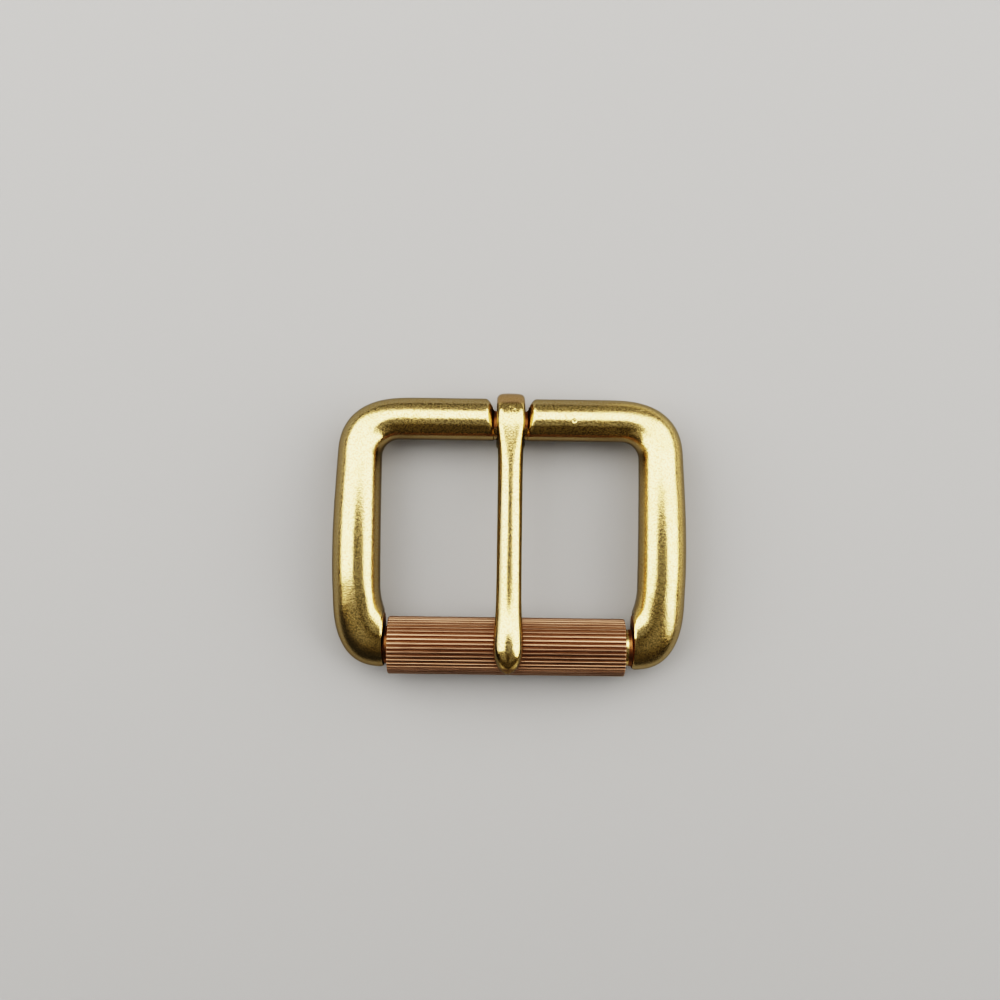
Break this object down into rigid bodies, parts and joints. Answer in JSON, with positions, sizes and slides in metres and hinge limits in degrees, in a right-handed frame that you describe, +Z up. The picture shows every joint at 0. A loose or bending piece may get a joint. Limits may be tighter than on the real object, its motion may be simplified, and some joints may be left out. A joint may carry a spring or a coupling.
{
  "type": "roller buckle",
  "caption": "Solid brass belt buckle: a rounded square frame with a fluted copper-coloured roller on its front bar and a hooked prong swinging on the heel bar.",
  "frame": {"origin": "middle of the bounding box in X and Y, on the surface that the buckle lies on", "axes": "+X across the strap, +Y from the roller to the heel bar, +Z up out of the front"},
  "size_m": [0.0558, 0.0446, 0.0118],
  "materials": {
    "frame": "cast and tumble-polished, bright",
    "roller": "drawn, fluted lengthwise, copper-coloured satin",
    "prong": "cast and tumble-polished, bright"
  },
  "bodies": {
    "frame_body": {"frame": "frame"},
    "roller_body": {"roller": "roller"},
    "prong_body": {"prong": "prong"}
  },
  "joints": [
    {"name": "roller_spin", "type": "hinge", "parent": "frame_body", "child": "roller_body", "pos_m": [0, -0.01777, 0.00455], "axis": [1, 0, 0], "continuous": true},
    {"name": "prong_swing", "type": "hinge", "parent": "frame_body", "child": "prong_body", "pos_m": [0, 0.01717, 0.00455], "axis": [-1, 0, 0], "range_deg": [0, 174]}
  ]
}
